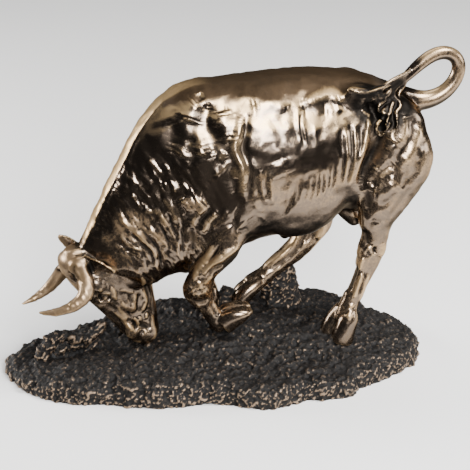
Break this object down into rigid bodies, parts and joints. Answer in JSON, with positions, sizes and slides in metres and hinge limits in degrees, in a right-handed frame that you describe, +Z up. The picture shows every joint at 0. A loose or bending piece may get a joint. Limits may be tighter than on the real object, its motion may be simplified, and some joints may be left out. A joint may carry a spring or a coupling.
{
  "type": "bull figurine",
  "caption": "fighting bull with lowered head and horns, folded pawing foreleg and tail looped over the rump, standing on an irregular oval patch of rough rocky ground",
  "frame": {"origin": "on the floor under the middle of the whole figurine's bounding box", "axes": "+Z up; the bull faces -X with its left flank towards -Y; the base's underside is the plane z = 0"},
  "size_m": [0.2944, 0.1326, 0.2045],
  "materials": {
    "bull": "cold-cast resin skinned with burnished bronze powder, black patina left in the folds",
    "ground": "rough cold-cast resin, near-black patina with bronze rubbed onto the high points"
  },
  "bodies": {
    "root": {"bull": "bull", "ground_base": "ground"}
  },
  "joints": []
}
